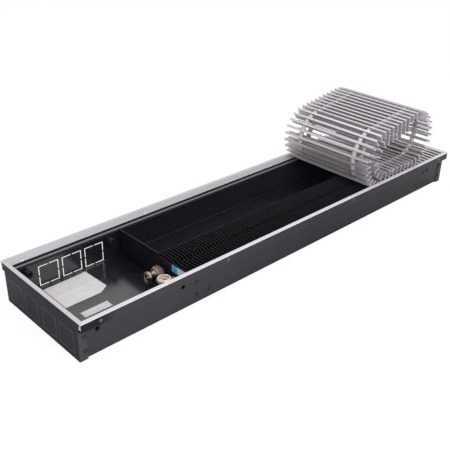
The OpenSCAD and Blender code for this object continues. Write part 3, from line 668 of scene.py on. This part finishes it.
heads = rivetEnds("wallRivetHeads", "wall_rivets", headLook)
smoothTo(heads, headLook["sharp"])
headPiece = addPiece("wallRivetHeads", heads, "wall_rivets", slotOf["wall_rivets"], ownFinish["wall_rivets"])
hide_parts("wall_rivets")
wallPins = rivetEnds("wallRivetPins", "wall_rivets", wallPin)
addPiece("wallRivetPins", wallPins, "wall_rivets", "rivet_steel", makePlated("pinSteel", pinPlating))
for pieceName, look in (("frameRivetPins", framePin), ("frameRivetHeads", innerHead)):
    addPiece(pieceName, rivetEnds(pieceName, "frame_rivets", look), "frame_rivets", "rivet_steel")
print("rivet heads and pins made")


# Papers: thin sheets with a lifted corner; the places of corner and fold are shares of their sides
paperShape = {"cornerFrom": 1.45, "cornerCurve": 3.3, "foldAt": 0.5, "foldSteep": 12}
leafletLook = dict(
    paperShape, cells=24, thick=0.25 * mm, lift=1.6 * mm, foldRise=0.5 * mm,
    cutX=20 * mm, cutY=12 * mm, slantX=4 * mm, slantY=2 * mm, short=3.5 * mm)
labelLook = dict(paperShape, cells=14, thick=0.2 * mm, lift=0.5 * mm, foldRise=0.0)


def paperCuts(look, low, high):
    # a point of each cut and the way out of the paper: the front corner, the right and the back side
    size = high - low
    return (
        ((high.x - look["cutX"], low.y, 0), (look["cutY"], -look["cutX"], 0)),
        ((high.x, low.y + look["cutY"], 0), (size.y - look["cutY"], look["slantX"], 0)),
        ((low.x, high.y - look["slantY"] - look["short"], 0), (-look["slantY"], size.x - look["slantX"], 0)))


def makePaper(pieceName, nodeName, look):
    low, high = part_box(nodeName)
    size = high - low
    # the grid is one unit wide round the origin, then it is stretched over the node's box
    bm = bmesh.new()
    bmesh.ops.create_grid(bm, x_segments=look["cells"], y_segments=look["cells"], size=0.5)
    for vert in bm.verts:
        vert.co = Vector((low.x + (vert.co.x + 0.5) * size.x, low.y + (vert.co.y + 0.5) * size.y, low.z))
    cuts = paperCuts(look, low, high) if "cutX" in look else ()
    for point, outward in cuts:
        bmesh.ops.bisect_plane(bm, geom=bm.verts[:] + bm.edges[:] + bm.faces[:], plane_co=point,
                               plane_no=outward, clear_outer=True)
    for vert in bm.verts:
        along = (vert.co.x - low.x) / size.x
        across = (vert.co.y - low.y) / size.y
        corner = max(0.0, across + along - look["cornerFrom"]) ** 2 * look["cornerCurve"]
        fold = max(0.0, 1 - abs(across - look["foldAt"]) * look["foldSteep"])
        vert.co.z += look["lift"] * corner + look["foldRise"] * fold
    mesh = bpy.data.meshes.new(pieceName)
    bm.to_mesh(mesh)
    bm.free()
    mesh.shade_smooth()
    piece = addPiece(pieceName, mesh, nodeName, slotOf[nodeName])
    thick = piece.modifiers.new("paperThickness", "SOLIDIFY")
    thick.thickness = look["thick"]
    thick.offset = 1.0
    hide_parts(nodeName)


makePaper("floorLeaflet", "floor_leaflet", leafletLook)
makePaper("floorLabel", "floor_label", labelLook)
print("papers laid")


# Rear connector: turned body, seal ring and an insert with a spindle in the mouth
# Each outline is a list of distance from the mouth and radius, in millimetres
connectorOutline = (
    (24.0, 0.0), (24.0, 7.9), (30.8, 7.9), (30.8, 8.8), (19.1, 8.8), (18.9, 9.5), (8.6, 9.5),
    (8.3, 9.7), (8.0, 10.3), (7.4, 10.8), (6.6, 11.0), (4.2, 11.0), (3.5, 10.8), (3.2, 10.3),
    (3.1, 9.8), (2.2, 9.8), (2.1, 10.3), (1.7, 10.6), (0.7, 10.6), (0.2, 10.3), (0.0, 9.9),
    (0.0, 8.9), (0.2, 8.4), (0.6, 8.1), (2.9, 8.0), (3.0, 5.5), (8.0, 5.5), (8.0, 0.0),
)
insertOutline = ((3.1, 5.9), (1.9, 5.95), (1.5, 6.2), (1.4, 6.5), (1.7, 6.85), (3.1, 6.95), (3.1, 5.9))
spindleOutline = ((8.1, 0.0), (8.1, 2.2), (3.4, 1.9), (2.2, 1.8), (1.7, 1.3), (1.6, 0.0))
sealOutline = (
    (1.1, 7.0), (0.8, 7.1), (0.6, 7.5), (0.8, 7.85), (1.1, 7.98),
    (1.9, 7.98), (2.2, 7.5), (1.9, 7.05), (1.1, 7.0),
)
turning = {"around": 48, "sharp": 42}


def makeTurned(pieceName, nodeName, outline, slotName, finish=None):
    low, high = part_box(nodeName)
    centreY = (low.y + high.y) / 2
    centreZ = (low.z + high.z) / 2
    bm = bmesh.new()
    rows = []
    for along, radius in outline:
        if radius == 0:
            rows.append([bm.verts.new((low.x + along * mm, centreY, centreZ))])
            continue
        row = []
        for k in range(turning["around"]):
            turn = 2 * math.pi * k / turning["around"]
            row.append(bm.verts.new((
                low.x + along * mm,
                centreY + radius * mm * math.cos(turn),
                centreZ + radius * mm * math.sin(turn))))
        rows.append(row)
    if outline[0] == outline[-1]:
        for vert in rows.pop():
            bm.verts.remove(vert)
        rows.append(rows[0])
    joinRows(bm, rows, turning["around"])
    mesh = closedMesh(bm, pieceName)
    smoothTo(mesh, turning["sharp"])
    return addPiece(pieceName, mesh, nodeName, slotName, finish)


rearBody = makeTurned("rearConnector", "rear_connector", connectorOutline, "fitting_dark")
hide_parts("rear_connector")
makeTurned("mouthInsert", "rear_connector", insertOutline, "fitting_nickel", ownFinish["vent_cap"])
makeTurned("mouthSpindle", "rear_connector", spindleOutline, "fitting_nickel", ownFinish["vent_cap"])
makeTurned("mouthSeal", "rear_connector", sealOutline, "bush_black")
print("rear connector turned")


# Floor, light and camera
stageLook = {
    "floorColour": 0.85, "floorGlow": 0.84, "glowLevel": 1.06, "floorReach": 12.0, "floorBelow": 0.2 * mm,
    "worldLight": 0.7, "worldSeen": 1.0,
}


def makeFloor(look):
    # to the camera it mostly glows white, and its own shading under that keeps the shadow
    f = Finish("paleFloor")
    lit = f.node("ShaderNodeBsdfDiffuse", inputs={"Color": tone(look["floorColour"])})
    glow = f.node("ShaderNodeEmission", inputs={"Color": tone(1.0), "Strength": look["glowLevel"]})
    share = f.rays("Is Camera Ray") * look["floorGlow"]
    f.show(f.node("ShaderNodeMixShader", inputs={0: share, 1: lit, 2: glow}))
    mesh = bpy.data.meshes.new("paleFloor")
    reach = look["floorReach"]
    mesh.from_pydata([(-reach, -reach, 0), (reach, -reach, 0), (reach, reach, 0), (-reach, reach, 0)],
                     [], [(0, 1, 2, 3)])
    floor = bpy.data.objects.new("paleFloor", mesh)
    bpy.context.scene.collection.objects.link(floor)
    mesh.materials.append(f.material)
    floor.location.z = -look["floorBelow"]


def makeWorld(look):
    # seen, mirrored or looked through, the surroundings are white; as light they are softer
    world = bpy.data.worlds.new("softWorld")
    bpy.context.scene.world = world
    w = Board(world, "ShaderNodeOutputWorld")
    seen = w.rays("Is Camera Ray")
    for kind in ("Is Glossy Ray", "Is Transmission Ray"):
        seen = seen.maths("MAXIMUM", seen, w.rays(kind))
    soft = w.node("ShaderNodeBackground", inputs={"Color": tone(1.0), "Strength": look["worldLight"]})
    white = w.node("ShaderNodeBackground", inputs={"Color": tone(1.0), "Strength": look["worldSeen"]})
    w.show(w.node("ShaderNodeMixShader", inputs={0: seen, 1: soft, 2: white}))


lamps = {
    "softboxAbove": {"at": (0.6, 0.2, 2.0), "aim": (0.1, 0.0, 0.0), "size": 1.6, "power": 8.5},
    "softboxFront": {"at": (-0.45, -2.1, 1.2), "aim": (0.0, 0.0, 0.05), "size": 1.4, "power": 41.0},
}


def makeLamp(name, look):
    data = bpy.data.lights.new(name, "AREA")
    data.shape = "SQUARE"
    data.size = look["size"]
    data.energy = look["power"]
    lamp = bpy.data.objects.new(name, data)
    bpy.context.scene.collection.objects.link(lamp)
    lamp.location = look["at"]
    lamp.rotation_euler = (Vector(look["aim"]) - Vector(look["at"])).to_track_quat("-Z", "Y").to_euler()


# The turn is in degrees, the lens and the sensor in millimetres
cameraLook = {
    "at": (-0.91900, -0.85415, 0.68983), "turn": (61.552, -1.094, -43.302),
    "lens": 55.916, "sensor": 36.0, "nearest": 0.01,
}


def makeCamera(look):
    data = bpy.data.cameras.new("photoCamera")
    data.lens = look["lens"]
    data.sensor_width = look["sensor"]
    data.clip_start = look["nearest"]
    camera = bpy.data.objects.new("photoCamera", data)
    bpy.context.scene.collection.objects.link(camera)
    camera.location = look["at"]
    camera.rotation_euler = Euler([math.radians(angle) for angle in look["turn"]], "XYZ")
    bpy.context.scene.camera = camera


makeFloor(stageLook)
makeWorld(stageLook)
for name, look in lamps.items():
    makeLamp(name, look)
makeCamera(cameraLook)
bpy.context.scene.view_settings.view_transform = "Standard"
print("stage, lamps and camera made")
